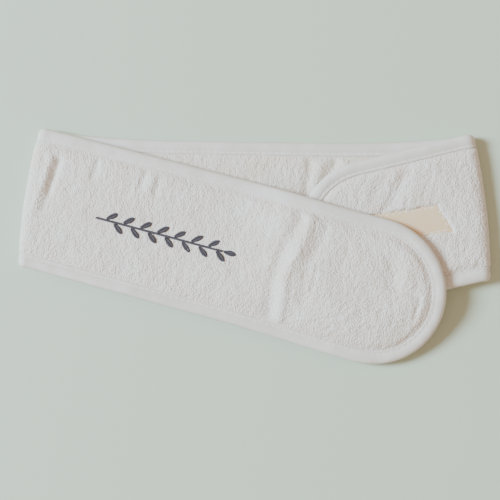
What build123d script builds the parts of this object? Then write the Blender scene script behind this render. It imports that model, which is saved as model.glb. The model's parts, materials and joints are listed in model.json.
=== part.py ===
from build123d import *
import math
import os

# A terry spa headband, folded flat: the back panel lies on the table, the front panel is folded over it
# from the left, the hook flap is folded in from the right, and the closure tab closes over the flap.
# All lengths in mm, angles in degrees.

# The band
band_width = 80.0          # across the band, binding included
back_length = 246.0        # between the middles of the two folds, along the middle of the band
front_length = 237.0       # from the middle of the left fold to the tip of the closure tab
flap_length = 97.0         # from the middle of the right fold to the tip of the hook flap
left_fold_lean = 6.6       # the left fold leans this far off square to the band
right_fold_lean = 7.5      # and the right fold this far the other way

# Layers
terry_thickness = 2.2      # one layer of cotton terry, pile included
panel_gap = 0.6            # air between two panels that lie on each other
hinge_gap = 0.5            # the moving panel starts this far from the middle of its fold
hinge_outset = 2.0         # the cloth unrolls about a line this far outside the middle of the fold
crease_gap = 0.4           # between the front panel and the tab
crease_clearance = 7.3     # the tab peels back to this far short of the hook flap

# Bias binding round the whole edge
tape_width = 7.5           # how far each leg of the folded tape reaches in from the edge
tape_thickness = 0.4
seam_margin = 1.3          # the stitch line, from the tape's inner edge
stitch_pitch = 3.5
stitch_length = 2.4
stitch_width = 0.5
stitch_height = 0.2

# Hook-and-loop patches, let into the pile until they are flush
patch_width = 16.0
patch_thickness = 1.0
patch_seam_inset = 1.4     # the patch's own stitch line, from its edge
hook_fold_clearance = 15.0  # from the middle of the right fold to the hook patch
hook_tip_clearance = 22.0  # from the hook patch to the flap's tip
hook_patch_offset = 1.8    # below the middle of the flap
loop_crease_clearance = 19.0
loop_tip_clearance = 13.0
loop_patch_offset = -0.8

# Embroidered sprig on the front panel
sprig_shift = 7.0          # from the middle of the front panel towards the tab
sprig_offset = -2.0        # below the middle of the band
sprig_length = 84.0
stem_width = 1.3
leaf_length = 8.4
leaf_width = 3.0
leaf_angle = 38.0
leaf_pairs = 7
leaf_gap = 0.25
thread_height = 0.5        # satin stitch stands this far off the terry

panel_thickness = 2 * terry_thickness
level_pitch = panel_thickness + panel_gap
fold_height = panel_thickness + panel_gap / 2
half_width = band_width / 2
seam_inset = tape_width - seam_margin
left_slope = math.tan(math.radians(left_fold_lean))
right_slope = math.tan(math.radians(right_fold_lean))

# The front panel climbs from the fold to the crease, which lies just short of the flap's round end.
# Distances are measured square to the left fold.
flap_way = math.radians(180 + 2 * right_fold_lean + left_fold_lean)
flap_centre_distance = back_length * math.cos(math.radians(left_fold_lean))
flap_centre_distance += (flap_length - half_width) * math.cos(flap_way)
crease_distance = flap_centre_distance - half_width - crease_clearance
front_tilt = math.degrees(math.asin(level_pitch / crease_distance))
front_panel_length = crease_distance / math.cos(math.radians(left_fold_lean))
tab_length = front_length - front_panel_length


class Cut:
    """A straight cut across the band, at a place on its middle line, with a slope along per across."""

    def __init__(self, place, slope):
        self.place = place
        self.slope = slope

    def at(self, across):
        return (self.place + self.slope * across, across)


class RoundEnd:
    """A half-round end of the band, with its tip at a place on the middle line."""

    def __init__(self, tip):
        self.centre = tip - half_width


def outline(start, end, inset):
    """The panel seen from above, with its bound edges moved in by inset and its cuts left alone."""
    half = half_width - inset
    if isinstance(end, Cut):
        return make_face(Polyline(start.at(-half), end.at(-half), end.at(half), start.at(half), close=True))
    low = (end.centre, -half)
    high = (end.centre, half)
    tip = (end.centre + half, 0)
    edges = [
        Line(start.at(-half), low),
        ThreePointArc(low, tip, high),
        Line(high, start.at(half)),
        Line(start.at(half), start.at(-half)),
    ]
    return make_face(edges)


def slab(start, end, inset, low, high):
    return extrude(Pos(0, 0, low) * outline(start, end, inset), high - low, dir=(0, 0, 1))


def terry_layers(start, end):
    """The lower and upper layers of terry, each thinner where the binding lies on it."""
    rim_low = slab(start, end, tape_thickness, tape_thickness, terry_thickness)
    lower = slab(start, end, tape_width, 0, terry_thickness) + rim_low
    rim_high = slab(start, end, tape_thickness, terry_thickness, panel_thickness - tape_thickness)
    upper = slab(start, end, tape_width, terry_thickness, panel_thickness) + rim_high
    return lower, upper


def binding(start, end):
    """The folded tape: a leg on each face and a web round the edge."""
    ring = slab(start, end, 0, 0, panel_thickness) - slab(start, end, tape_width, 0, panel_thickness)
    return ring - slab(start, end, tape_thickness, tape_thickness, panel_thickness - tape_thickness)


def upper_and_lower(pieces):
    """Sort the two straight runs of a binding by their side of the band."""
    runs = sorted(pieces.solids(), key=lambda run: run.center().Y)
    return runs[1], runs[0]


def stitches_along(paths, height):
    """Short threads laid end to end along each path, standing on the face at this height."""
    threads = []
    thread = Box(stitch_length, stitch_width, stitch_height, align=(Align.CENTER, Align.CENTER, Align.MIN))
    for path in paths:
        count = max(1, round(path.length / stitch_pitch))
        for number in range(count):
            share = (number + 0.5) / count
            point = path.position_at(share)
            way = path.tangent_at(share)
            turn = math.degrees(math.atan2(way.Y, way.X))
            threads.append(Pos(point.X, point.Y, height) * Rot(0, 0, turn) * thread)
    return Compound(children=threads)


def edge_seam(start, end, side):
    """One straight run of the binding's seam, on the side +1 or -1."""
    across = side * (half_width - seam_inset)
    last = end.at(across) if isinstance(end, Cut) else (end.centre, across)
    return Line(start.at(across), last)


def end_seam(end):
    """The binding's seam round a half-round end."""
    reach = half_width - seam_inset
    return ThreePointArc((end.centre, -reach), (end.centre + reach, 0), (end.centre, reach))


def patch(place, length, offset, low):
    """A hook or loop patch, with its lower face at this height."""
    block = Box(length, patch_width, patch_thickness, align=(Align.MIN, Align.CENTER, Align.MIN))
    return Pos(place, offset, low) * block


def patch_seams(place, length, offset):
    """The four runs of the patch's own stitch line."""
    left = place + patch_seam_inset
    right = place + length - patch_seam_inset
    low = offset - patch_width / 2 + patch_seam_inset
    high = offset + patch_width / 2 - patch_seam_inset
    corners = [(left, low), (right, low), (right, high), (left, high)]
    trim = stitch_pitch / 2
    runs = []
    for first, last in zip(corners, corners[1:] + corners[:1]):
        run = Line(first, last)
        runs.append(Line(run.position_at(trim / run.length), run.position_at(1 - trim / run.length)))
    return runs


def leaf():
    """A pointed leaf from the origin along +X, between two arcs."""
    tip = (leaf_length, 0)
    above = ThreePointArc((0, 0), (leaf_length / 2, leaf_width / 2), tip)
    below = ThreePointArc(tip, (leaf_length / 2, -leaf_width / 2), (0, 0))
    return extrude(make_face([above, below]), thread_height, dir=(0, 0, 1))


def sprig():
    """A stem with a leaf at its tip and pairs of leaves that lean towards it."""
    stem_length = sprig_length - leaf_length - leaf_gap
    stem_start = -sprig_length / 2
    stem = extrude(SlotOverall(stem_length, stem_width), thread_height, dir=(0, 0, 1))
    pieces = [Pos(stem_start + stem_length / 2, 0, 0) * stem]
    pieces.append(Pos(stem_start + stem_length + leaf_gap, 0, 0) * leaf())
    spacing = stem_length / (leaf_pairs + 0.5)
    clear = stem_width / 2 + leaf_gap
    for number in range(leaf_pairs):
        along = stem_start + spacing * (number + 0.6)
        pieces.append(Pos(along, clear, 0) * Rot(0, 0, leaf_angle) * leaf())
        pieces.append(Pos(along + spacing / 2, -clear, 0) * Rot(0, 0, -leaf_angle) * leaf())
    return Compound(children=pieces)


def half_tube(inner, outer, low, high):
    """Half of a tube round the Y axis from low to high, on the side where X is negative."""
    ring = make_face([
        ThreePointArc((0, -outer), (-outer, 0), (0, outer)),
        Line((0, outer), (0, inner)),
        ThreePointArc((0, inner), (-inner, 0), (0, -inner)),
        Line((0, -inner), (0, -outer)),
    ])
    upright = Plane(origin=(0, low, 0), x_dir=(1, 0, 0), z_dir=(0, -1, 0))
    return extrude(upright * ring, high - low, dir=(0, 1, 0))


def fold(lean):
    """The band folded round the Y axis: outer terry, lining terry and the binding at both edges."""
    stretch = 1 / math.cos(math.radians(lean))
    edge = half_width * stretch
    rim = (half_width - tape_thickness) * stretch
    middle = (half_width - tape_width) * stretch
    inside = panel_gap / 2
    between = inside + terry_thickness
    outside = inside + panel_thickness
    outer = half_tube(between, outside, -middle, middle)
    outer = outer + half_tube(between, outside - tape_thickness, -rim, rim)
    lining = half_tube(inside, between, -middle, middle)
    lining = lining + half_tube(inside + tape_thickness, between, -rim, rim)
    tape = half_tube(inside, outside, middle, edge)
    tape = tape - half_tube(inside + tape_thickness, outside - tape_thickness, middle, rim)
    return {"outer_terry": outer, "lining_terry": lining, "binding_upper": tape,
            "binding_lower": mirror(tape, about=Plane.XZ)}


def back_panel():
    start = Cut(-back_length / 2, left_slope)
    end = Cut(back_length / 2, -right_slope)
    outer, lining = terry_layers(start, end)
    upper, lower = upper_and_lower(binding(start, end))
    return {
        "back_outer_terry": outer,
        "back_lining_terry": lining,
        "back_binding_upper": upper,
        "back_binding_lower": lower,
        "back_stitching_upper": stitches_along([edge_seam(start, end, 1)], panel_thickness),
        "back_stitching_lower": stitches_along([edge_seam(start, end, -1)], panel_thickness),
    }


def front_panel():
    start = Cut(hinge_gap, -left_slope)
    end = Cut(front_panel_length, -left_slope)
    lining, outer = terry_layers(start, end)
    upper, lower = upper_and_lower(binding(start, end))
    sprig_place = front_panel_length / 2 + sprig_shift
    return {
        "front_outer_terry": outer,
        "front_lining_terry": lining,
        "front_binding_upper": upper,
        "front_binding_lower": lower,
        "front_stitching_upper": stitches_along([edge_seam(start, end, 1)], panel_thickness),
        "front_stitching_lower": stitches_along([edge_seam(start, end, -1)], panel_thickness),
        "embroidered_sprig": Pos(sprig_place, sprig_offset, panel_thickness) * sprig(),
    }


def closure_tab():
    start = Cut(crease_gap, -left_slope)
    end = RoundEnd(tab_length)
    lining, outer = terry_layers(start, end)
    loop_length = tab_length - loop_crease_clearance - loop_tip_clearance
    loop = patch(loop_crease_clearance, loop_length, loop_patch_offset, 0)
    loop_seams = patch_seams(loop_crease_clearance, loop_length, loop_patch_offset)
    seams = [edge_seam(start, end, 1), edge_seam(start, end, -1), end_seam(end)]
    return {
        "tab_outer_terry": outer,
        "tab_lining_terry": lining - loop,
        "tab_binding": binding(start, end),
        "tab_stitching": stitches_along(seams, panel_thickness),
        "tab_loop_patch": loop,
        "tab_patch_stitching": stitches_along(loop_seams, panel_thickness),
    }


def hook_flap():
    start = Cut(hinge_gap, right_slope)
    end = RoundEnd(flap_length)
    lining, outer = terry_layers(start, end)
    hook_length = flap_length - hook_fold_clearance - hook_tip_clearance
    hook = patch(hook_fold_clearance, hook_length, hook_patch_offset, panel_thickness - patch_thickness)
    hook_seams = patch_seams(hook_fold_clearance, hook_length, hook_patch_offset)
    seams = [edge_seam(start, end, 1), edge_seam(start, end, -1), end_seam(end)]
    return {
        "flap_outer_terry": outer - hook,
        "flap_lining_terry": lining,
        "flap_binding": binding(start, end),
        "flap_stitching": stitches_along(seams, panel_thickness),
        "flap_hook_patch": hook,
        "flap_patch_stitching": stitches_along(hook_seams, panel_thickness),
    }


def placed(pieces, place):
    return {name: place * shape for name, shape in pieces.items()}


def lifted(pieces, axis, angle):
    return {name: shape.rotate(axis, angle) for name, shape in pieces.items()}


def build_headband():
    left = Vector(-back_length / 2, 0, fold_height)
    right = Vector(back_length / 2, 0, fold_height)
    left_way = Vector(0, 1, 0).rotate(Axis.Z, -left_fold_lean)
    right_way = Vector(0, 1, 0).rotate(Axis.Z, right_fold_lean)
    left_out = Vector(-hinge_outset, 0, 0).rotate(Axis.Z, -left_fold_lean)
    right_out = Vector(hinge_outset, 0, 0).rotate(Axis.Z, right_fold_lean)

    nodes = back_panel()
    for name, shape in fold(left_fold_lean).items():
        nodes["left_fold_" + name] = Pos(left) * Rot(0, 0, -left_fold_lean) * shape
    for name, shape in fold(right_fold_lean).items():
        turned = mirror(shape, about=Plane.YZ)
        nodes["right_fold_" + name] = Pos(right) * Rot(0, 0, right_fold_lean) * turned

    front_way = -2 * left_fold_lean
    front_place = Pos(left.X, 0, level_pitch) * Rot(0, 0, front_way)
    nodes.update(lifted(placed(front_panel(), front_place), Axis(left, -left_way), front_tilt))

    crease = Vector(front_panel_length, 0, 0).rotate(Axis.Z, front_way)
    tab_place = Pos(left.X + crease.X, crease.Y, 2 * level_pitch) * Rot(0, 0, front_way)
    nodes.update(placed(closure_tab(), tab_place))

    flap_place = Pos(right.X, 0, level_pitch) * Rot(0, 0, 180 + 2 * right_fold_lean)
    nodes.update(placed(hook_flap(), flap_place))

    # The origin is the middle of the whole headband's box, on the table.
    box = Compound(children=[Compound(shape.solids()) for shape in nodes.values()]).bounding_box()
    middle = Pos(-box.center().X, -box.center().Y, -box.min.Z)
    nodes = placed(nodes, middle)
    crease_point = Vector(left.X + crease.X, crease.Y, 2 * level_pitch + panel_thickness)
    axes = {
        "left_fold": Axis(left + left_out, -left_way),
        "right_fold": Axis(right + right_out, right_way),
        "tab_crease": Axis(crease_point, -left_way),
    }
    for name, axis in axes.items():
        point = axis.position + middle.position
        print(name, "through", [round(c, 4) for c in point], "along", [round(c, 6) for c in axis.direction])
    print("size", [round(c, 3) for c in box.size], "moved by", [round(c, 4) for c in middle.position])
    return nodes


os.makedirs("parts", exist_ok=True)
for name, shape in build_headband().items():
    export_step(shape, f"parts/{name}.step")
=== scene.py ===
import json
import math
import bpy
import numpy as np
from mathutils import Matrix, Vector


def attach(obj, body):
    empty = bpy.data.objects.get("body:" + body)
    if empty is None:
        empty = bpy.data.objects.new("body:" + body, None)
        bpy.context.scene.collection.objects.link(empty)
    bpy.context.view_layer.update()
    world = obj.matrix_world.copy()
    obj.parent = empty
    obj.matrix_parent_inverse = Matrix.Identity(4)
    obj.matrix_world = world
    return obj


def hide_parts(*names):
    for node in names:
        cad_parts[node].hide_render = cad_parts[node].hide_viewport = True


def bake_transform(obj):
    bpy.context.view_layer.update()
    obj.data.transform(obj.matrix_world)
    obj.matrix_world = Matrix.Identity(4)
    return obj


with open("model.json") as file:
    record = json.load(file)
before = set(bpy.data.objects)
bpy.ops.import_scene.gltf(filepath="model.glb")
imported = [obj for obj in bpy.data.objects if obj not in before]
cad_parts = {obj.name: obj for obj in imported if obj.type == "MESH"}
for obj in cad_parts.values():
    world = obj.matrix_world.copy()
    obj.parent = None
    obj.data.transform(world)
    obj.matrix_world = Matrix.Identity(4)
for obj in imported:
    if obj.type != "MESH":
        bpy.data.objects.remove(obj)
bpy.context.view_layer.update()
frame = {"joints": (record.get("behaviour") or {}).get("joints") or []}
print("stage 1: frame loaded")

mm = 0.001  # the functions below work in millimetres, and a mesh is written in metres

# The cloth is one strip: flap, right fold, back, left fold, front, tab. A place on it is (run, v):
# run goes along the strip and v across it, from -halfWidth at the lower edge to halfWidth.
halfWidth = 40.0
ply = 2.2  # thickness of each of the two terry layers
levelPitch = 5.0  # height from one lying panel's middle to the next
hingeOutset = 2.0  # the hinge lines lie this far outside the folds' middles
foldRun = 14.0  # length of strip that turns in a fold
backRun = 246.0
frontEnd = 197.0  # from the left fold to the middle of the tab's round end
flapEnd = 57.0  # from the right fold to the middle of the flap's round end
creaseRun = 145.0
seamInset = 6.2  # from the edge to the stitch line
tapeReach = 7.5  # from the edge to the tape's inner lip


def smooth(x):
    # smoothstep: 3 x^2 - 2 x^3, with x held from 0 to 1
    x = np.clip(x, 0.0, 1.0)
    return x * x * (3.0 - 2.0 * x)


def chance(i, j, seed):
    # a repeatable number from 0 to 1 for each place of a lattice
    n = (i * 374761393 + j * 668265263 + seed * 974634777) & 0xFFFFFFFF
    n = ((n ^ (n >> 13)) * 1274126177) & 0xFFFFFFFF
    return ((n ^ (n >> 16)) & 0xFFFF) / 65535.0


def cloud(x, y, cell, seed):
    # smooth noise from -1 to 1: a chance number at each corner of a cell, blended by smoothstep; each
    # use has a seed of its own
    gx, gy = np.asarray(x) / cell + 1000.0, np.asarray(y) / cell + 1000.0
    i, j = np.floor(gx).astype(np.int64), np.floor(gy).astype(np.int64)
    fx, fy = smooth(gx - i), smooth(gy - j)
    low = chance(i, j, seed) * (1 - fx) + chance(i + 1, j, seed) * fx
    high = chance(i, j + 1, seed) * (1 - fx) + chance(i + 1, j + 1, seed) * fx
    return 2.0 * (low * (1 - fy) + high * fy) - 1.0


def foldLine(name, travel):
    # the line of a fold from its joint, and the way the strip lies after it: a panel folded over is
    # the mirror image of its own direction, d - 2 (d . out) out
    joint = next(j for j in frame["joints"] if j["name"] == name)
    point = np.array(joint["pos_m"]) / mm
    along = np.array(joint["axis"]) * np.sign(joint["axis"][1])
    out = np.array([along[1], -along[0], 0.0]) * np.sign(point[0])

    def mirrored(d):
        return d - 2.0 * (d @ out) * out

    return {
        "middle": (point - hingeOutset * out)[:2],
        "out": out[:2],
        "lean": along[0] / along[1],
        "slant": abs(along[0] / along[1]),
        "right": mirrored(np.array([travel, 0.0, 0.0]))[:2],
        "up": mirrored(np.array([0.0, 1.0, 0.0]))[:2],
    }


left = foldLine("left_fold", -1.0)
right = foldLine("right_fold", 1.0)
backMiddle = (left["middle"] + right["middle"]) / 2.0


def onPanel(line, run, v):
    # plane place of (run, v) on a folded panel
    u = run - line["slant"] * v
    return line["middle"] + u[..., None] * line["right"] + v[..., None] * line["up"]


# The lying panels sag towards the table past the edge of what is under them.
sag = {"bow": 5.0, "backReach": 50.0, "backShare": 0.7, "flapReach": 38.0}


def bow(x):
    # the back panel's middle lies a little lower than its ends
    return -sag["bow"] * (1.0 - np.clip(np.abs(x) / (backRun / 2), 0, 1) ** 4)


def overBack(xy):
    # how far a place is held up by the back: 1 over it, falling by smoothstep past its lower edge
    x = xy[..., 0] - backMiddle[0]
    past = backMiddle[1] - halfWidth + bow(x) - xy[..., 1]
    return 1.0 - sag["backShare"] * smooth(past / sag["backReach"])


def overFlap(xy):
    # how far a place is held up by the flap: 1 over it, falling to 0 by smoothstep past its outline
    d = xy - right["middle"]
    u, v = d @ right["right"], d @ right["up"]
    past = np.where(u < flapEnd, np.abs(v), np.hypot(u - flapEnd, v)) - halfWidth
    return 1.0 - smooth(past / sag["flapReach"])


# The tab's end lies bent down a little in its own plane.
tabBend = {"from": 115.0, "over": 75.0, "down": 2.0, "tipFrom": 190.0, "tipOver": 45.0, "tipDown": 1.0}
frontRipple = {"mean": 0.3, "broad": 0.35, "broadCell": 27.0, "fine": 0.15, "fineCell": 12.0}
rippleFade = {"from": 4.0, "over": 40.0}


def frontMiddle(run, v):
    # the panel's flat place less the bend, two smoothsteps of run; its height is one level for each
    # panel under it, and noise that grows from the fold
    xy = onPanel(left, run, v)
    drop = tabBend["down"] * smooth((run - tabBend["from"]) / tabBend["over"])
    drop = drop + tabBend["tipDown"] * smooth((run - tabBend["tipFrom"]) / tabBend["tipOver"])
    xy = xy - drop[..., None] * np.array([0.0, 1.0])
    ripple = frontRipple["mean"] + frontRipple["broad"] * cloud(run, v, frontRipple["broadCell"], 11)
    ripple = ripple + frontRipple["fine"] * cloud(run, v, frontRipple["fineCell"], 12)
    grown = smooth((run - rippleFade["from"]) / rippleFade["over"])
    z = ply + levelPitch * (overBack(xy) + overFlap(xy)) + grown * ripple
    return np.concatenate([xy, z[..., None]], -1)


def flapMiddle(run, v):
    # the panel's flat place, one level up where the back is under it
    xy = onPanel(right, run, v)
    z = ply + levelPitch * overBack(xy)
    return np.concatenate([xy, z[..., None]], -1)


def backPlane(x, v):
    # x from -backRun/2 to backRun/2 on the middle line; the lean of a line across goes evenly from
    # the left fold's to the right one's, and the middle line bows down
    share = x / backRun + 0.5
    px = backMiddle[0] + x + v * (left["lean"] * (1 - share) + right["lean"] * share)
    py = backMiddle[1] + v + bow(x)
    return np.stack([px, py, np.full(px.shape, ply)], -1)


foldForm = {"slack": 0.15, "belly": 2.6}  # how much further out a fold goes than a half round


def foldShare(part, run):
    # the share of its own fold's turn that a strip has made: 0 on the back, 1 on the panel on top
    done = (run - backRun) / foldRun if part == "back" else run / foldRun + 1.0
    return np.clip(done, 0, 1)


def foldMiddle(line, share, v):
    # half an ellipse from the back round the fold's line to the panel on top, fullest at mid-width
    belly = foldForm["belly"] * (1.0 - np.clip(v / halfWidth, -1, 1) ** 2)
    reach = levelPitch / 2 + foldForm["slack"] + belly
    angle = np.pi * share
    base = line["middle"] + v[..., None] * np.array([line["lean"], 1.0])
    xy = base + (reach * np.sin(angle))[..., None] * line["out"]
    z = ply + levelPitch / 2 * (1.0 - np.cos(angle))
    return np.concatenate([xy, z[..., None]], -1)


def backStrip(run, v):
    # the back from the right fold's line to the left one's, then the left fold
    flat = backPlane(backRun / 2 - np.minimum(run, backRun), v)
    turned = foldMiddle(left, foldShare("back", run), v)
    return np.where((run > backRun)[..., None], turned, flat)


def flapStrip(run, v):
    # the right fold from the back, run = -foldRun, then the flap
    turned = foldMiddle(right, foldShare("flap", run), v)
    return np.where((run < 0)[..., None], turned, flapMiddle(np.maximum(run, 0), v))


strips = {
    "front": {"place": frontMiddle, "turn": 1, "low": 0.0, "end": frontEnd, "slant": left["slant"]},
    "back": {"place": backStrip, "turn": 1, "low": 0.0, "high": backRun + foldRun},
    "flap": {"place": flapStrip, "turn": -1, "low": -foldRun, "end": flapEnd, "slant": right["slant"]},
}


slopeStep = 0.15  # slopes are taken over this far to each side


def surface(strip, run, v):
    # middle surface P(run, v) and its unit normal towards the outer face, turn * dP/drun x dP/dv
    run, v = np.broadcast_arrays(np.asarray(run, float), np.asarray(v, float))
    place = strip["place"]
    ahead = np.minimum(run + slopeStep, strip.get("high", np.inf))
    behind = np.maximum(run - slopeStep, strip["low"])
    along = place(ahead, v) - place(behind, v)
    across = place(run, v + slopeStep) - place(run, v - slopeStep)
    normal = strip["turn"] * np.cross(along, across)
    return place(run, v), normal / np.linalg.norm(normal, axis=-1, keepdims=True)


def foldTurn(part, run):
    # the squared sine of the fold's angle: 0 on the flat, 1 at the outermost line of a fold
    return np.sin(np.pi * foldShare(part, run)) ** 2


def weaveRun(part, run):
    # one run through all three strips, 0 at the left fold's top and falling along back and flap, so
    # that the pile's noise goes on from one to the next
    if part == "front":
        return run
    if part == "back":
        return run - backRun - foldRun
    return -run - backRun - 2 * foldRun


def makePiece(name, points, faces, flat=(), cloth=None):
    # points in millimetres; the faces are turned outward by the sign of the enclosed volume
    points = np.asarray(points, float).reshape(-1, 3)
    faces = np.asarray(faces)
    a, b, c, d = (points[faces[:, k]] for k in range(4))
    volume = (a * np.cross(b, c)).sum() + (a * np.cross(c, d)).sum()
    if volume < 0:
        faces = faces[:, ::-1]
    # a quad that names a corner twice is a triangle
    keep = np.ones(faces.shape, bool)
    keep[:, 3] = faces[:, 3] != faces[:, 2]
    keep[:, 1] = faces[:, 1] != faces[:, 0]
    sizes = keep.sum(1)
    curved = ~np.isin(np.arange(len(faces)), flat)
    mesh = bpy.data.meshes.new(name)
    mesh.vertices.add(len(points))
    mesh.vertices.foreach_set("co", (points * mm).ravel())
    mesh.loops.add(int(sizes.sum()))
    mesh.loops.foreach_set("vertex_index", faces[keep].astype(np.int32))
    mesh.polygons.add(len(faces))
    mesh.polygons.foreach_set("loop_start", (np.cumsum(sizes) - sizes).astype(np.int32))
    mesh.polygons.foreach_set("use_smooth", curved)
    mesh.update(calc_edges=True)
    # a point's normal comes from the curved faces only, so that two pieces meet without a dark line
    wall = faces[curved]
    a, b, c, d = (points[wall[:, k]] for k in range(4))
    lean = np.cross(c - a, d - b)
    normals = np.zeros(points.shape)
    for k in range(4):
        np.add.at(normals, wall[:, k], lean)
    normals /= np.maximum(np.linalg.norm(normals, axis=1, keepdims=True), 1e-12)
    mesh.normals_split_custom_set_from_vertices(normals.tolist())
    if cloth is not None:
        layer = mesh.attributes.new("cloth", "FLOAT_VECTOR", "POINT")
        layer.data.foreach_set("vector", (np.asarray(cloth, float) * mm).astype(np.float32).ravel())
    piece = bpy.data.objects.new(name, mesh)
    bpy.context.scene.collection.objects.link(piece)
    return piece


def closedSheet(name, top, bottom, cloth):
    # two grids of the same size with a rim between them, which is the only flat-shaded part
    rows, cols = top.shape[:2]
    index = np.arange(rows * cols).reshape(rows, cols)
    n = rows * cols
    quads = np.stack([index[:-1, :-1], index[:-1, 1:], index[1:, 1:], index[1:, :-1]], -1).reshape(-1, 4)
    loop = np.concatenate([index[0, :], index[1:, -1], index[-1, -2::-1], index[-2:0:-1, 0]])
    after = np.roll(loop, -1)
    rim = np.stack([loop, loop + n, after + n, after], -1)
    faces = np.concatenate([quads, quads[:, ::-1] + n, rim])
    flat = np.arange(2 * len(quads), len(faces))
    both = np.concatenate([cloth.reshape(-1, 3)] * 2)
    return makePiece(name, np.concatenate([top.reshape(-1, 3), bottom.reshape(-1, 3)]), faces, flat, both)


threadForm = {"rings": 6, "around": 6, "lastRing": 0.94, "clothShift": 7.3}


def threads(name, starts, ends, ups, width, height, arch, runs=None):
    # each thread is a closed tube along start to end: its middle line rises by arch (1 - x^2), and
    # its section is an ellipse that tapers by (1 - x^6)^0.5 to a point at both ends, x from -1 to 1
    starts, ends, ups = (np.asarray(p, float) for p in (starts, ends, ups))
    count, rings, around = len(starts), threadForm["rings"], threadForm["around"]
    x = np.linspace(-threadForm["lastRing"], threadForm["lastRing"], rings)
    angle = np.arange(around) * 2 * np.pi / around
    middle, half = (starts + ends) / 2, (ends - starts) / 2
    side = np.cross(ups, half)
    side /= np.maximum(np.linalg.norm(side, axis=1, keepdims=True), 1e-9)
    taper = np.sqrt(1 - x**6)
    line = middle[:, None] + x[None, :, None] * half[:, None]
    line = line + np.asarray(arch).reshape(-1, 1, 1) * (1 - x**2)[None, :, None] * ups[:, None]
    ring = (
        line[:, :, None]
        + side[:, None, None] * (width / 2 * taper[:, None] * np.cos(angle))[None, :, :, None]
        + ups[:, None, None] * (height / 2 * taper[:, None] * np.sin(angle))[None, :, :, None]
    )
    each = rings * around + 2
    points = np.concatenate([ring.reshape(count, -1, 3), starts[:, None], ends[:, None]], 1)
    k = np.arange(rings * around).reshape(rings, around)
    turned = np.roll(k, -1, axis=1)
    body = np.stack([k[:-1], turned[:-1], turned[1:], k[1:]], -1).reshape(-1, 4)
    first = np.stack([np.full(around, rings * around), turned[0], k[0], k[0]], -1)
    last = np.stack([np.full(around, rings * around + 1), k[-1], turned[-1], turned[-1]], -1)
    faces = np.concatenate([body, first, last])
    faces = (faces[None] + (np.arange(count) * each)[:, None, None]).reshape(-1, 4)
    cloth = np.zeros((count, each, 3))
    cloth[:, : rings * around, 0] = np.repeat(x, around)[None] * np.linalg.norm(half, axis=1)[:, None]
    cloth[:, : rings * around, 1] = np.tile(angle, rings)[None] / (2 * np.pi) * width * 2
    cloth[:, :, 2] = np.arange(count)[:, None] * threadForm["clothShift"]
    piece = makePiece(name, points.reshape(-1, 3), faces, (), cloth.reshape(-1, 3))
    return piece, None if runs is None else np.repeat(np.asarray(runs, float), each)


def bend(piece, turned):
    # The mesh's points are laid along a line at the inverse of smoothstep of their shares, the object's
    # transform is baked into the mesh there, and then the points are put back where they were.
    rest = np.empty(len(piece.data.vertices) * 3, np.float32)
    piece.data.vertices.foreach_get("co", rest)
    line = np.zeros((len(piece.data.vertices), 3), np.float32)
    line[:, 0] = 0.5 - np.sin(np.arcsin(np.clip(1 - 2 * turned, -1, 1)) / 3)
    piece.data.vertices.foreach_set("co", line.ravel())
    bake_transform(piece)
    piece.data.vertices.foreach_set("co", rest)
    piece.data.update()


creaseZone = {"before": 4.0, "after": 18.0}  # the cloth bends from just before the crease to past it


def follow(part, piece, run):
    # Each of the strip's points gets its share of its own joint's turn: by smoothstep past the crease,
    # and in even shares round a fold; bend is called with these shares.
    run = np.asarray(run, float).ravel()
    if part == "front":
        low = creaseRun - creaseZone["before"]
        share = smooth((run - low) / (creaseZone["before"] + creaseZone["after"]))
        bend(piece, share)
    if part == "back":
        bend(piece, foldShare(part, run))
    if part == "flap":
        bend(piece, foldShare(part, run))


# Creases and dents in the terry's face: points (run, v) of a line, its height and its width.
marks = {
    ("front", 1): [
        ([(10.6, 24), (7.4, 5)], -1.5, 1.9),
        ([(10.4, 25), (7.6, 9), (5.4, -7)], -0.55, 3.4),
        ([(6.0, 24), (3.2, 8), (1.2, -3)], 0.75, 2.2),
        ([(33.5, 29), (31.8, 20)], -0.8, 2.0),
        ([(62.0, 30), (60.8, 22)], -0.8, 2.0),
        ([(71.0, 28), (69.4, 20)], -0.7, 2.2),
        ([(66.5, 28), (65.0, 20)], 0.35, 2.0),
        ([(159.2, 30), (157.0, 18), (150.0, -5), (149.6, -29)], 1.2, 2.8),
        ([(152.8, 27), (147.6, 13), (144.5, 2), (142.2, -13), (143.0, -30)], -1.1, 3.2),
        ([(168.0, 27), (161.5, 5), (160.0, -14)], -0.7, 3.2),
        ([(181.0, 18), (178.5, 4)], -0.45, 2.6),
        ([(206.0, 17), (207.5, 8)], -1.0, 4.2),
        ([(215.0, 20), (216.5, 2)], 0.4, 4.0),
    ],
    ("back", -1): [
        ([(89.0, 30), (91.4, 4)], -1.0, 2.4),
        ([(74.0, 29), (82.1, 16), (86.3, 3)], -1.5, 2.8),
        ([(82.0, 29), (86.5, 10)], 0.4, 2.4),
        ([(68.0, 29), (76.0, 12)], 0.4, 2.6),
    ],
    ("flap", 1): [
        ([(34.0, 28), (42.0, 17), (48.0, 9)], -0.95, 3.6),
        ([(47.0, 28), (54.0, 18)], -0.4, 3.0),
        ([(16.0, 31), (14.0, 15)], 0.35, 4.5),
        ([(-5.0, 28), (-4.0, -26)], -0.5, 4.0),
    ],
}

hookPatch = {
    "strip": "flap",
    "face": 1,
    "from": 16.0,
    "to": 76.0,
    "middle": -1.8,
    "width": 16.0,
    "tilt": 0.07,  # sewn on a little askew
    "skew": 0.28,  # its ends are cut at a slant
}
loopPatch = {
    "strip": "front",
    "face": -1,
    "from": creaseRun + 19.0,
    "to": creaseRun + 79.0,
    "middle": -2.0,
    "width": 16.0,
    "tilt": 0.0,
    "skew": 0.0,
}
patchSeam = 1.4  # from the patch's edge to its stitches
sprigPlace = {"u": 79.5, "v": -2.0, "length": 84.0}

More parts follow.
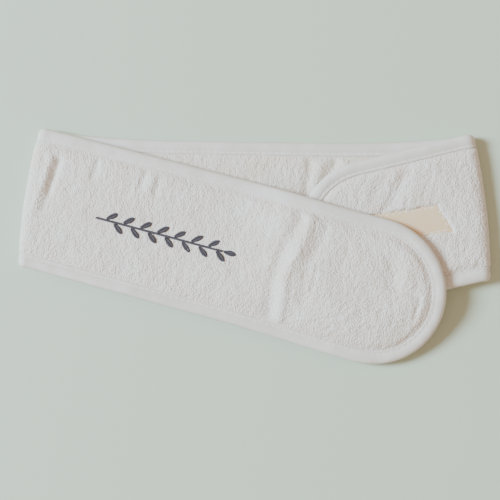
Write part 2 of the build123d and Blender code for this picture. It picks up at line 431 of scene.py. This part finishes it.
terryForm = {
    "grid": 0.8,
    "reach": halfWidth - 4.0,  # the terry ends inside the tape
    "inner": 0.12,  # the two layers' backs are this far from the middle
    "least": 0.3,  # the face never comes nearer to the middle than this
    "underTape": 1.02,
    "lap": 0.4,  # the face starts to rise this far under the tape's lip
    "rise": 4.6,
    "riseCut": 0.75,  # share of the rise that is lost round a fold
    "foldThin": 1.15,  # what the inner face loses round a fold
    "loopCut": 0.4,  # share of the pile's relief that is lost round a fold
    "pressed": 0.5,  # share of it that is lost where the cloth lies on something
    "tableRoom": 2.0,  # how much relief a face on the table gets back as it turns up
    "liningShift": 1000.0,  # puts the lining in another part of the noise
}
shoulder = {"height": 0.1, "at": 12.5, "wide": 3.0}  # a low swelling beside the tape
# Noise in the pile: height, size of a lump, squeeze across the strip, seed. Loops, clumps of loops,
# and the slow swell of washed terry, which is never quite even.
pileNoise = [(0.23, 1.15, 0.7, 3), (0.13, 2.1, 0.45, 4)]
swellForm = {"height": 0.17, "cell": 9.0, "fineShare": 0.6, "fineCell": 4.5}
loopFade = {"from": 7.2, "over": 2.0}  # the pile's relief grows past the tape's lip
markFade = 3.0  # and the marks' relief over this much
# The pile leans over a patch's edge, and the cloth is pulled in along the patch's seam.
patchEdge = {"cover": 0.9, "over": 1.5, "under": 0.75}
leanNoise = {"broad": 0.7, "broadCell": 3.2, "fine": 0.4, "fineCell": 1.4}
patchDent = {"deep": 0.85, "uneven": 0.2, "cell": 9.0, "wide": 0.85}
sprigDent = {"deep": 0.3, "halfWide": 3.2, "halfLong": 40.0, "inside": 1.0, "over": 4.5}


def bell(x, wide):
    # exp(-(x / wide)^2): 1 at x = 0, falling off evenly to both sides
    return np.exp(-((x / wide) ** 2))


def toLine(run, v, points):
    # distance from (run, v) to a line of points: the least of those to its straight parts
    best = np.full(np.shape(run), np.inf)
    for (x0, y0), (x1, y1) in zip(points, points[1:]):
        dx, dy = x1 - x0, y1 - y0
        t = np.clip(((run - x0) * dx + (v - y0) * dy) / (dx * dx + dy * dy), 0, 1)
        best = np.minimum(best, np.hypot(run - x0 - t * dx, v - y0 - t * dy))
    return best


def fromEdge(strip, run, v):
    # distance from the strip's outline inward: halfWidth less |v|, or less the distance from the
    # middle of the round end
    inset = halfWidth - np.abs(v)
    if "end" in strip:
        u = run - strip["slant"] * v
        inset = np.where(u > strip["end"], halfWidth - np.hypot(u - strip["end"], v), inset)
    return inset


def toPatch(patch, strip, run, v):
    # distance outside the patch's outline, negative inside it
    u = run - strip["slant"] * v
    b = v - patch["middle"] - patch["tilt"] * (u - patch["from"])
    a = u - patch["skew"] * b - (patch["from"] + patch["to"]) / 2
    return np.maximum(np.abs(a) - (patch["to"] - patch["from"]) / 2, np.abs(b) - patch["width"] / 2)


def fromPatch(patch, strip, a, b):
    # (run, v) of a place on the patch: a along it from its first end, b across it from its middle
    u = patch["from"] + a + patch["skew"] * b
    v = patch["middle"] + b + patch["tilt"] * (u - patch["from"])
    return u + strip["slant"] * v, v


def markHeight(part, face, run, v):
    # the sum over this face's marks of rise exp(-(distance to the mark's line / its width)^2)
    total = np.zeros(run.shape)
    for (owner, side), lines in marks.items():
        for points, rise, wide in lines if side == face else []:
            points = [(weaveRun(owner, x), y) for x, y in points]
            total = total + rise * bell(toLine(weaveRun(part, run), v, points), wide)
    return total


def pileHeight(part, face, run, v):
    # How far the terry's face stands off the middle surface: a smoothstep from under the tape up to
    # the full height, plus creases, less the dents of patches and sprig, plus the pile's noise.
    strip = strips[part]
    inset = fromEdge(strip, run, v)
    fold = foldTurn(part, run)
    full = ply + shoulder["height"] * bell(inset - shoulder["at"], shoulder["wide"])
    if face < 0:
        full = full - terryForm["foldThin"] * fold
    rise = terryForm["rise"] * (1 - terryForm["riseCut"] * fold)
    low = terryForm["underTape"]
    height = low + (full - low) * smooth((inset - tapeReach + terryForm["lap"]) / rise)
    weave = weaveRun(part, run) + (terryForm["liningShift"] if face < 0 else 0.0)
    loops = sum(high * cloud(weave, v * squeeze, cell, seed) for high, cell, squeeze, seed in pileNoise)
    swell = cloud(weave, v, swellForm["cell"], 5)
    swell = swell + swellForm["fineShare"] * cloud(weave, v, swellForm["fineCell"], 6)
    loops = loops + swellForm["height"] * swell
    # the pile is pressed flat where it lies on something: below the back, and inside the folded ends
    turned = smooth(foldShare(part, run))
    loops = loops * (1 - terryForm["pressed"] * (1 - turned if face > 0 else turned))
    height = height + markHeight(part, face, run, v) * smooth((inset - tapeReach) / markFade)
    for patch in (hookPatch, loopPatch):
        if part != patch["strip"]:
            continue
        outside = toPatch(patch, strip, run, v)
        if face == patch["face"]:
            # the pile leans further over the patch's edge in some places than in others
            over = outside + patchEdge["cover"]
            over = over + leanNoise["broad"] * cloud(run, v, leanNoise["broadCell"], 7)
            over = over + leanNoise["fine"] * cloud(run, v, leanNoise["fineCell"], 8)
            clear = smooth(over / patchEdge["over"])
            height = patchEdge["under"] + (height - patchEdge["under"]) * clear
            loops = loops * clear
        else:
            deep = patchDent["deep"] + patchDent["uneven"] * cloud(run, v, patchDent["cell"], 9)
            height = height - deep * bell(outside + patchSeam, patchDent["wide"])
    if part == "front" and face > 0:
        u = run - strip["slant"] * v
        acrossGap = np.abs(v - sprigPlace["v"]) - sprigDent["halfWide"]
        outside = np.maximum(acrossGap, np.abs(u - sprigPlace["u"]) - sprigDent["halfLong"])
        clear = smooth((outside + sprigDent["inside"]) / sprigDent["over"])
        height = height - sprigDent["deep"] * (1 - clear)
    grown = smooth((inset - loopFade["from"]) / loopFade["over"])
    height = height + loops * grown * (1 - terryForm["loopCut"] * fold)
    if part == "back" and face > 0:
        height = np.minimum(height, ply + terryForm["tableRoom"] * turned)
    return np.maximum(height, terryForm["least"])


def terrySheet(name, part, face):
    # one layer of a strip: P + face h(run, v) N on its face, h from pileHeight, and P + face inner N
    # on its back; rows run along the strip at even steps of v, each out to its own end
    strip = strips[part]
    reach, grid = terryForm["reach"], terryForm["grid"]
    rows = int(round(2 * reach / grid)) + 1
    v = np.linspace(-reach, reach, rows)[:, None]
    if "end" in strip:
        far = strip["end"] + np.sqrt(np.maximum(reach**2 - v**2, 0)) + strip["slant"] * v
        long = strip["end"] + reach - strip["low"]
    else:
        far = np.full(v.shape, strip["high"])
        long = strip["high"] - strip["low"]
    cols = int(round(long / grid)) + 1
    run = strip["low"] + np.linspace(0, 1, cols)[None] * (far - strip["low"])
    v = np.broadcast_to(v, run.shape)
    point, normal = surface(strip, run, v)
    top = point + normal * (face * pileHeight(part, face, run, v))[..., None]
    bottom = point + normal * face * terryForm["inner"]
    cloth = np.stack([weaveRun(part, run), v, np.full(run.shape, halfWidth * face)], -1)
    piece = closedSheet(name, top, bottom, cloth)
    follow(part, piece, np.concatenate([run.ravel(), run.ravel()]))
    return piece


# Half the tape's section: distance in from the edge and height off the middle surface. It is a soft
# roll at the edge, pinched at the seam, with a narrow lip inside the seam.
tapeForm = {
    "outside": [
        (7.5, 1.12), (7.55, 1.34), (7.3, 1.5), (6.8, 1.55), (6.2, 1.34), (5.6, 1.6), (4.8, 1.9),
        (3.8, 2.07), (2.8, 2.08), (1.8, 1.9), (1.0, 1.52), (0.35, 0.92), (0.0, 0.0),
    ],
    "inside": [
        (7.45, 1.1), (7.2, 1.1), (7.0, 1.1), (6.7, 1.1), (6.2, 1.1), (5.6, 1.2), (4.8, 1.45),
        (3.9, 1.62), (3.0, 1.6), (2.1, 1.45), (1.4, 1.15), (0.8, 0.7), (0.45, 0.0),
    ],
    "pitch": 1.5,
    "foldThin": 0.3,  # share of the height lost on the inner side of a fold
    "clothShift": 7.0,  # the tape's own place in the weave
}
# A hand-fed tape is fuller in some places than in others: share of the height, lump's size, seed.
tapeNoise = [(0.07, 11.0, 21), (0.07, 3.6, 22)]
pinch = {"fill": 0.5, "at": 6.6, "wide": 1.2}  # what fills the seam's pinch round a fold


def edgePath(part, side, pitch):
    # The strip's edge as functions of the distance in from it. side is 1 for the upper edge, -1 for
    # the lower, 0 for all of the edge of a strip with a round end: out along the upper edge, round
    # the half circle of radius halfWidth less the distance, and back along the lower edge.
    strip = strips[part]
    if "high" in strip:
        steps = int((strip["high"] - strip["low"]) / pitch) + 1
        runs = np.linspace(strip["low"], strip["high"], steps)[:, None]
        return lambda e: (runs + 0 * e, side * (halfWidth - e) + 0 * runs)

    folded = np.linspace(strip["low"], 0, int(-strip["low"] / pitch) + 1)[:-1, None]
    shares = np.linspace(0, 1, int(strip["end"] / pitch) + 1)[:, None]
    turn = np.linspace(np.pi / 2, -np.pi / 2, int(np.pi * halfWidth / pitch) + 1)[1:-1, None]

    def path(e):
        inset = halfWidth - e
        runs, vs = [], []
        for v in (inset, -inset):
            straight = shares * (strip["end"] + strip["slant"] * v)
            runs.append(np.concatenate([folded + 0 * v, straight]))
            vs.append(np.broadcast_to(v, runs[-1].shape))
        arcV = inset * np.sin(turn)
        arcRun = strip["end"] + inset * np.cos(turn) + strip["slant"] * arcV
        run = np.concatenate([runs[0], arcRun, runs[1][::-1]])
        return run, np.concatenate([vs[0], arcV, vs[1][::-1]])

    return path


def unpinch(inset):
    # height that fills the pinch at the seam: fill exp(-((inset - at) / wide)^2)
    return pinch["fill"] * bell(inset - pinch["at"], pinch["wide"])


def reflected(section):
    # a half section and its reflection in the middle surface, as one line from lip to lip
    section = np.array(section)
    return np.concatenate([section, section[-2::-1] * [1, -1]])


def bindingTape(name, part, side):
    # a tube whose section is the tape's, outer line and back along the inner one, set on the edge at
    # P(run, v) + height N, with height times 1 plus noise
    strip = strips[part]
    path = edgePath(part, side, tapeForm["pitch"])
    points, runs = [], []
    for section in (reflected(tapeForm["outside"]), reflected(tapeForm["inside"])[::-1]):
        run, v = path(section[:, 0][None])
        point, normal = surface(strip, run, v)
        height = np.broadcast_to(section[:, 1][None], run.shape)
        # round a fold the tape is drawn flat: thinner on the inner side, its pinch filled on the outer
        fold = foldTurn(part, run)
        thin = height * (1 - tapeForm["foldThin"] * fold)
        height = np.where(height < 0, thin, height + fold * unpinch(section[:, 0]))
        weave = weaveRun(part, run)
        height = height * (1 + sum(share * cloud(weave, v, cell, seed) for share, cell, seed in tapeNoise))
        points.append(point + normal * height[..., None])
        runs.append(run)
    points, runs = np.concatenate(points, 1), np.concatenate(runs, 1)
    length, size = points.shape[:2]
    along = np.concatenate([[0], np.cumsum(np.linalg.norm(np.diff(points[:, size // 4], axis=0), axis=1))])
    girth = np.concatenate([[0], np.cumsum(np.linalg.norm(np.diff(points[length // 2], axis=0), axis=1))])
    cloth = np.stack(np.broadcast_arrays(along[:, None], girth[None], tapeForm["clothShift"]), -1)
    k = np.arange(length * size).reshape(length, size)
    turned = np.roll(k, -1, axis=1)
    wall = np.stack([k[:-1], turned[:-1], turned[1:], k[1:]], -1).reshape(-1, 4)
    # a flat cap at each end, from the outer line to the inner one, wound the same way as the walls
    m = np.arange(size // 2 - 1)
    cap = np.stack([m, size - 1 - m, size - 2 - m, m + 1], -1)
    faces = np.concatenate([wall, cap[:, ::-1] + (length - 1) * size, cap])
    flat = np.arange(len(wall), len(faces))
    piece = makePiece(name, points, faces, flat, cloth.reshape(-1, 3))
    follow(part, piece, runs)
    return piece


seamForm = {
    "pitch": 3.5,
    "length": 2.4,
    "width": 0.5,
    "height": 0.34,
    "arch": 0.06,
    "off": 1.38,
    "start": 0.3,  # in pitches
    "backStart": 0.25,  # the stitches below stand this much further along, in pitches
    "uneven": 0.12,
    "pathStep": 0.5,
    "spare": 1.0,  # left free at the row's end
}


def pathLength(strip, run, v):
    # length along a line of places on the middle surface, up to each of them
    point, _ = surface(strip, run, v)
    return np.concatenate([[0], np.cumsum(np.linalg.norm(np.diff(point, axis=0), axis=1))])


def seamThreads(name, part, side):
    # stitches at even lengths along the edge's path, at seamInset from the edge, on both faces
    strip = strips[part]
    run, v = edgePath(part, side, seamForm["pathStep"])(np.array([[seamInset]]))
    run, v = run[:, 0], v[:, 0]
    done = pathLength(strip, run, v)
    number = np.arange(int((done[-1] - seamForm["spare"]) / seamForm["pitch"]))
    starts, ends, ups, runs = [], [], [], []
    for face in (1, -1):
        at = (number + seamForm["start"] + seamForm["backStart"] * (face < 0)) * seamForm["pitch"]
        at = at + seamForm["uneven"] * (chance(number, 0 * number, 31 + face) - 0.5)
        span = []
        for place in (at, at + seamForm["length"]):
            r, w = np.interp(place, done, run), np.interp(place, done, v)
            point, normal = surface(strip, r, w)
            fold = foldTurn(part, r)
            if face < 0:
                off = seamForm["off"] * (1 - tapeForm["foldThin"] * fold)
            else:
                off = seamForm["off"] + fold * unpinch(seamInset)
            span.append((point + normal * (face * off)[:, None], normal * face, r))
        starts.append(span[0][0])
        ends.append(span[1][0])
        up = span[0][1] + span[1][1]
        ups.append(up / np.linalg.norm(up, axis=1, keepdims=True))
        runs.append((span[0][2] + span[1][2]) / 2)
    starts, ends, ups, runs = (np.concatenate(each) for each in (starts, ends, ups, runs))
    shape = seamForm["width"], seamForm["height"], seamForm["arch"]
    piece, weights = threads(name, starts, ends, ups, *shape, runs)
    follow(part, piece, weights)
    return piece


patchForm = {
    "grid": 1.0,
    "low": 0.8,
    "top": 1.5,
    "round": 0.9,
    "edgeDrop": 0.45,
    "seamDrop": 0.16,
    "seamWide": 0.7,
    "arch": 0.05,
    "threadSunk": 0.12,
    "backSunk": 0.5,
    "start": 0.16,  # in pitches
}


def tapePatch(name, patch, body):
    # a flat patch at a fixed height off the middle surface, less a quarter round at its edges and a
    # bell along its seam
    strip, face = strips[patch["strip"]], patch["face"]
    wide, long = patch["width"], patch["to"] - patch["from"]
    rows, cols = int(wide / patchForm["grid"]) * 2 + 1, int(long / patchForm["grid"]) + 1
    a, b = np.meshgrid(np.linspace(0, long, cols), np.linspace(-wide / 2, wide / 2, rows))
    run, v = fromPatch(patch, strip, a, b)
    point, normal = surface(strip, run, v)
    inside = -toPatch(patch, strip, run, v)
    quarter = 1 - np.sqrt(1 - (1 - np.clip(inside / patchForm["round"], 0, 1)) ** 2)
    drop = patchForm["edgeDrop"] * quarter
    drop = drop + patchForm["seamDrop"] * bell(inside - patchSeam, patchForm["seamWide"])
    height = patchForm["top"] - drop
    top = point + normal * (face * height)[..., None]
    bottom = point + normal * face * patchForm["low"]
    cloth = np.stack([a, b, np.zeros(a.shape)], -1)
    piece = closedSheet(name, top, bottom, cloth)
    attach(piece, body)
    return piece


def patchThreads(name, patch, body):
    # stitches at even lengths along the four sides of the patch's seam, on both faces of the cloth
    strip, wide = strips[patch["strip"]], patch["width"] / 2 - patchSeam
    first, last = patchSeam, patch["to"] - patch["from"] - patchSeam
    corners = [(first, -wide), (last, -wide), (last, wide), (first, wide), (first, -wide)]
    sides = (
        (patch["face"], patchForm["top"] - patchForm["threadSunk"]),
        (-patch["face"], ply - patchForm["backSunk"]),
    )
    starts, ends, ups = [], [], []
    for (a0, b0), (a1, b1) in zip(corners, corners[1:]):
        length = math.hypot(a1 - a0, b1 - b0)
        count = int(length / seamForm["pitch"])
        gap = (length - count * seamForm["pitch"]) / 2
        for face, off in sides:
            at = gap + (np.arange(count) + patchForm["start"]) * seamForm["pitch"]
            span = []
            for place in (at, at + seamForm["length"]):
                share = place / length
                run, v = fromPatch(patch, strip, a0 + (a1 - a0) * share, b0 + (b1 - b0) * share)
                point, normal = surface(strip, run, v)
                span.append((point + normal * face * off, normal * face))
            starts.append(span[0][0])
            ends.append(span[1][0])
            ups.append(span[0][1])
    starts, ends, ups = (np.concatenate(each) for each in (starts, ends, ups))
    piece, _ = threads(name, starts, ends, ups, seamForm["width"], seamForm["height"], patchForm["arch"])
    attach(piece, body)
    return piece


leafForm = {
    "length": 8.4,
    "width": 3.0,
    "angle": 38.0,
    "pairs": 7,
    "gap": 0.25,
    "overlap": 0.3,  # the leaves' feet go this far into the gap beside the stem
    "firstPair": 0.6,  # in spacings
    "tip": 0.1,
}
stemForm = {"width": 1.3, "slant": 0.55, "inset": 0.3}
satin = {
    "pitch": 0.3,
    "stemPitch": 1.1,  # in pitches
    "width": 0.42,
    "height": 0.3,
    "off": 2.1,
    "arch": 0.32,
    "uneven": 0.05,
    "first": 0.35,
    "last": 1.0,
    "slant": 0.8,
    "cross": 0.05,  # a leaf's threads start this far over the midrib
}


def leafEdge(x):
    # half width of the leaf at x, between two arcs of one radius through its ends:
    # sqrt(radius^2 - (x - length / 2)^2) - (radius - width / 2)
    length, width = leafForm["length"], leafForm["width"]
    radius = (length**2 + width**2) / (4 * width)
    return np.sqrt(np.maximum(radius**2 - (x - length / 2) ** 2, 0)) - (radius - width / 2)


def leafThreads():
    # threads from the midrib out to each edge, slanted forward by a share of their reach
    x = np.arange(satin["first"], leafForm["length"] - satin["last"], satin["pitch"])
    reach = leafEdge(np.minimum(x + satin["slant"], leafForm["length"]))
    foot, ahead = np.full(x.shape, -satin["cross"]), x + satin["slant"] * reach
    return np.concatenate([np.stack([x, side * foot, ahead, side * reach], -1) for side in (1, -1)])


def sprigThreads(name):
    # a stem of slanted threads, and leaves turned about their feet in steps along both its sides
    half = sprigPlace["length"] / 2
    stem = sprigPlace["length"] - leafForm["length"] - leafForm["gap"]
    spacing = stem / (leafForm["pairs"] + 0.5)
    wide, slant, inset = stemForm["width"] / 2, stemForm["slant"], stemForm["inset"]
    clear = wide + leafForm["gap"] - leafForm["overlap"]
    x = np.arange(-half + inset, -half + stem - inset, satin["pitch"] * satin["stemPitch"])
    spans = [np.stack([x - slant, 0 * x - wide, x + slant, 0 * x + wide], -1)]
    leaves = [(-half + stem + leafForm["tip"], 0.0, 0.0)]
    for k in range(leafForm["pairs"]):
        at = -half + spacing * (k + leafForm["firstPair"])
        leaves.append((at, clear, leafForm["angle"]))
        leaves.append((at + spacing / 2, -clear, -leafForm["angle"]))
    blade = leafThreads()
    for ox, oy, degrees in leaves:
        c, s = math.cos(math.radians(degrees)), math.sin(math.radians(degrees))
        spans.append(np.stack([
            ox + blade[:, 0] * c - blade[:, 1] * s, oy + blade[:, 0] * s + blade[:, 1] * c,
            ox + blade[:, 2] * c - blade[:, 3] * s, oy + blade[:, 2] * s + blade[:, 3] * c,
        ], -1))
    spans = np.concatenate(spans)
    strip = strips["front"]
    ends = []
    for a in (0, 2):
        u, v = sprigPlace["u"] + spans[:, a], sprigPlace["v"] + spans[:, a + 1]
        point, normal = surface(strip, u + strip["slant"] * v, v)
        ends.append(point + normal * satin["off"])
    number = np.arange(len(spans))
    arch = satin["arch"] + satin["uneven"] * (chance(number, 0 * number + 1, 41) - 0.5)
    piece, _ = threads(name, *ends, normal, satin["width"], satin["height"], arch)
    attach(piece, "front_panel")
    return piece


def linear(colour):
    # an sRGB hex colour as the linear one the shader works in
    values = [int(colour[k : k + 2], 16) / 255 for k in (1, 3, 5)]
    return [v / 12.92 if v <= 0.04045 else ((v + 0.055) / 1.055) ** 2.4 for v in values] + [1.0]


def newMaterial(name):
    # a material with its node tree and its shader
    material = bpy.data.materials.new(name)
    material.use_nodes = True
    tree = material.node_tree
    return material, tree, tree.nodes["Principled BSDF"]


def addNode(tree, kind, values=None, links=None, **settings):
    # a node with its settings, the values of its inputs, and what each input is linked from
    node = tree.nodes.new(kind)
    for key, value in settings.items():
        setattr(node, key, value)
    for key, value in (values or {}).items():
        node.inputs[key].default_value = value
    for key, socket in (links or {}).items():
        tree.links.new(socket, node.inputs[key])
    return node


def mixed(tree, factor, first, second):
    # one colour to another by the factor; each is a colour or the output of a node
    node = addNode(tree, "ShaderNodeMix", None, {"Factor": factor}, data_type="RGBA")
    for value, socket in zip((first, second), [s for s in node.inputs if s.type == "RGBA"]):
        if isinstance(value, str):
            socket.default_value = linear(value)
        else:
            tree.links.new(value, socket)
    return next(s for s in node.outputs if s.type == "RGBA")


def raised(tree, shader, height, strength, distance):
    # turns the shader's normal by the slope of a height
    bump = addNode(tree, "ShaderNodeBump", {"Strength": strength, "Distance": distance}, {"Height": height})
    tree.links.new(bump.outputs["Normal"], shader.inputs["Normal"])


def terryMaterial(name, light, shade, deep):
    # cotton terry: white loops, creamier in some places than in others, and painted shade, darker and
    # warmer, down between the loops, so the eye reads a thick matt pile
    material, tree, shader = newMaterial(name)
    place = addNode(tree, "ShaderNodeAttribute", attribute_name="cloth").outputs["Vector"]
    stretched = addNode(tree, "ShaderNodeMapping", {"Scale": (1.0, 0.5, 1.0)}, {"Vector": place})
    broad = addNode(tree, "ShaderNodeTexNoise", {"Scale": 1 / 0.014, "Detail": 3.0}, {"Vector": place})
    loops = addNode(
        tree, "ShaderNodeTexNoise", {"Scale": 1 / 0.0007, "Detail": 2.0, "Roughness": 0.6},
        {"Vector": stretched.outputs["Vector"]},
    )
    cells = addNode(tree, "ShaderNodeTexVoronoi", {"Scale": 1 / 0.0011}, {"Vector": place})
    cream = addNode(
        tree, "ShaderNodeMapRange", {"From Min": 0.36, "From Max": 0.64}, {"Value": broad.outputs["Fac"]}
    )
    # painted shade between the loops: up to half of the deep colour where the cells' distance is large
    paintedGapShade = addNode(
        tree, "ShaderNodeMapRange", {"From Min": 0.25, "From Max": 0.75, "To Max": 0.5},
        {"Value": cells.outputs["Distance"]},
    )
    tone = mixed(tree, cream.outputs["Result"], light, shade)
    tree.links.new(mixed(tree, paintedGapShade.outputs["Result"], tone, deep), shader.inputs["Base Color"])
    height = addNode(
        tree, "ShaderNodeMath", None, {0: loops.outputs["Fac"], 1: cells.outputs["Distance"]},
        operation="SUBTRACT",
    )
    raised(tree, shader, height.outputs["Value"], 0.9, 0.0005)
    shader.inputs["Roughness"].default_value = 0.95
    shader.inputs["Specular IOR Level"].default_value = 0.15
    shader.inputs["Sheen Weight"].default_value = 0.25
    shader.inputs["Sheen Roughness"].default_value = 0.6
    return material


def wovenMaterial(name, light, shade, rib, roughness, strength):
    # woven cotton or nylon: an almost even colour and fine ribs, so the eye reads smooth cloth
    material, tree, shader = newMaterial(name)
    place = addNode(tree, "ShaderNodeAttribute", attribute_name="cloth").outputs["Vector"]
    broad = addNode(tree, "ShaderNodeTexNoise", {"Scale": 1 / 0.008, "Detail": 2.0}, {"Vector": place})
    tree.links.new(mixed(tree, broad.outputs["Fac"], light, shade), shader.inputs["Base Color"])
    ribs = addNode(
        tree, "ShaderNodeTexWave",
        {"Scale": 1 / (rib * math.pi), "Distortion": 1.5, "Detail": 1.0, "Detail Scale": 2.0},
        {"Vector": place}, bands_direction="DIAGONAL",
    )
    raised(tree, shader, ribs.outputs["Fac"], strength, 0.0001)
    shader.inputs["Roughness"].default_value = roughness
    shader.inputs["Specular IOR Level"].default_value = 0.25
    return material


# off-white loops with creamy patches, the brightest cloth; the lining is a shade creamier
# the last colour of each is painted shade, for down between the loops
outerTerry = terryMaterial("cotton_terry_outer", "#F1ECE9", "#EEE2DA", "#D8C7BB")
liningTerry = terryMaterial("cotton_terry_lining", "#F1EBE5", "#EDE0D5", "#D8C5B5")
# plain matt cloth, smoother and a little greyer than the pile it borders
biasTape = wovenMaterial("cotton_bias_tape", "#EAE4DF", "#DAD1C9", 0.0006, 0.85, 0.8)
# whiter than the tape, so that the stitches just show
whiteThread = wovenMaterial("white_sewing_thread", "#FAF7F2", "#F2EEE8", 0.0004, 0.6, 0.3)
# nearly black with a soft shine, the only dark thing
darkThread = wovenMaterial("charcoal_rayon_thread", "#3F383D", "#57505A", 0.0003, 0.42, 0.5)
# peach cream, the only coloured thing; its mate is a greyish white fuzz with painted shade between its
# loops
hookNylon = wovenMaterial("cream_hook_nylon", "#F0D3B0", "#EAC8A2", 0.0005, 0.7, 0.35)
loopNylon = terryMaterial("white_loop_nylon", "#E9E3DD", "#E2D9D0", "#D2C6B9")


def finishPiece(piece, material, slotName, *nodes):
    # gives a piece its material and hides the CAD nodes it stands for
    piece.data.materials.append(material)
    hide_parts(*nodes)
    return piece


def terryLayers(part, farEnd):
    # both layers of a strip; its far end has nodes of its own
    layers = []
    for layer, face, material in (("outer", 1, outerTerry), ("lining", -1, liningTerry)):
        nodes = [f"{place}_{layer}_terry" for place in (part, farEnd)]
        sheet = terrySheet(f"{part}_{layer}_cloth", part, face)
        layers.append(finishPiece(sheet, material, "cotton_terry", *nodes))
    return layers


frontOuter, frontLining = terryLayers("front", "tab")
backOuter, backLining = terryLayers("back", "left_fold")
flapOuter, flapLining = terryLayers("flap", "right_fold")
print("stage 2: terry")

frontTape = finishPiece(
    bindingTape("front_binding_tape", "front", 0), biasTape, "bias_binding",
    "front_binding_upper", "front_binding_lower", "tab_binding",
)
backUpperTape = finishPiece(
    bindingTape("back_upper_binding_tape", "back", 1), biasTape, "bias_binding",
    "back_binding_upper", "left_fold_binding_upper",
)
backLowerTape = finishPiece(
    bindingTape("back_lower_binding_tape", "back", -1), biasTape, "bias_binding",
    "back_binding_lower", "left_fold_binding_lower",
)
flapTape = finishPiece(
    bindingTape("flap_binding_tape", "flap", 0), biasTape, "bias_binding",
    "flap_binding", "right_fold_binding_upper", "right_fold_binding_lower",
)
print("stage 3: binding")


def whiteSeam(piece, *nodes):
    return finishPiece(piece, whiteThread, "sewing_thread", *nodes)


frontSeam = whiteSeam(
    seamThreads("front_seam_thread", "front", 0),
    "front_stitching_upper", "front_stitching_lower", "tab_stitching",
)
backUpperSeam = whiteSeam(seamThreads("back_upper_seam_thread", "back", 1), "back_stitching_upper")
backLowerSeam = whiteSeam(seamThreads("back_lower_seam_thread", "back", -1), "back_stitching_lower")
flapSeam = whiteSeam(seamThreads("flap_seam_thread", "flap", 0), "flap_stitching")
print("stage 4: seams")

hookPiece = finishPiece(
    tapePatch("flap_hook_tape", hookPatch, "hook_flap"), hookNylon, "hook_tape", "flap_hook_patch"
)
loopPiece = finishPiece(
    tapePatch("tab_loop_tape", loopPatch, "closure_tab"), loopNylon, "loop_tape", "tab_loop_patch"
)
hookSeam = whiteSeam(patchThreads("hook_tape_thread", hookPatch, "hook_flap"), "flap_patch_stitching")
loopSeam = whiteSeam(patchThreads("loop_tape_thread", loopPatch, "closure_tab"), "tab_patch_stitching")
sprig = finishPiece(
    sprigThreads("leaf_sprig_embroidery"), darkThread, "embroidery_thread", "embroidered_sprig"
)
print("stage 5: patches and embroidery")

viewForm = {
    "aim": (0.1, -3.9, 0.0),  # millimetres, as is the distance
    "distance": 500.0,
    "tiltRight": 5.7,  # degrees, as are the two below
    "tiltDown": 2.5,
    "roll": 1.87,
    "lens": 63.6,
    "sensor": 36.0,
    "clip": 0.01,
}


def makeCamera():
    # stands back along (sin right, -sin down, the rest), so almost overhead, and rolls by a little
    sx = math.sin(math.radians(viewForm["tiltRight"]))
    sy = -math.sin(math.radians(viewForm["tiltDown"]))
    back = Vector((sx, sy, math.sqrt(1 - sx * sx - sy * sy)))
    turn = Matrix.Rotation(math.radians(viewForm["roll"]), 3, "Z")
    back = turn @ back
    up = turn @ Vector((0, 1, 0))
    side = up.cross(back).normalized()
    up = back.cross(side)
    place = Vector(viewForm["aim"]) * mm + back * viewForm["distance"] * mm
    data = bpy.data.cameras.new("camera")
    data.lens = viewForm["lens"]
    data.sensor_width = viewForm["sensor"]
    data.clip_start = viewForm["clip"]
    camera = bpy.data.objects.new("camera", data)
    camera.matrix_world = Matrix((
        (side.x, up.x, back.x, place.x),
        (side.y, up.y, back.y, place.y),
        (side.z, up.z, back.z, place.z),
        (0, 0, 0, 1),
    ))
    bpy.context.scene.collection.objects.link(camera)
    bpy.context.scene.camera = camera


def makeTable():
    # matt painted board: an even pale ground that shows the soft shadow
    bpy.ops.mesh.primitive_plane_add(size=6.0, location=(0, 0, 0))
    table = bpy.context.object
    table.name = "table_top"
    material, tree, shader = newMaterial("matt_pale_board")
    shader.inputs["Base Color"].default_value = linear("#C9D3C0")
    shader.inputs["Roughness"].default_value = 0.9
    shader.inputs["Specular IOR Level"].default_value = 0.1
    table.data.materials.append(material)


lightForm = {
    "key": {"from": (-2.5, 0.32, 1.9), "size": 1.1, "power": 240.0, "colour": (0.64, 0.87, 1.0)},
    "fill": {"strength": 0.7, "colour": (1.0, 0.76, 0.555)},
    "wall": {"strength": 1.25, "colour": (0.96, 1.0, 0.97)},
}


def makeLights():
    # one big soft cool lamp from the left, and warm light that fills its shadows
    key = lightForm["key"]
    data = bpy.data.lights.new("key_light", "AREA")
    data.shape = "DISK"
    data.size = key["size"]
    data.energy = key["power"]
    data.color = key["colour"]
    lamp = bpy.data.objects.new("key_light", data)
    lamp.location = key["from"]
    lamp.rotation_euler = (-Vector(key["from"])).to_track_quat("-Z", "Y").to_euler()
    bpy.context.scene.collection.objects.link(lamp)
    # the warm light comes from all round; only the camera sees the plain pale wall in its place
    world = bpy.data.worlds.new("studio")
    world.use_nodes = True
    tree = world.node_tree
    shown = []
    for part in ("fill", "wall"):
        settings = lightForm[part]
        values = {"Color": (*settings["colour"], 1.0), "Strength": settings["strength"]}
        shown.append(addNode(tree, "ShaderNodeBackground", values).outputs["Background"])
    ray = addNode(tree, "ShaderNodeLightPath")
    links = {0: ray.outputs["Is Camera Ray"], 1: shown[0], 2: shown[1]}
    both = addNode(tree, "ShaderNodeMixShader", None, links)
    tree.links.new(both.outputs["Shader"], tree.nodes["World Output"].inputs["Surface"])
    bpy.context.scene.world = world


makeCamera()
makeTable()
makeLights()
print("stage 6: table, light and camera")
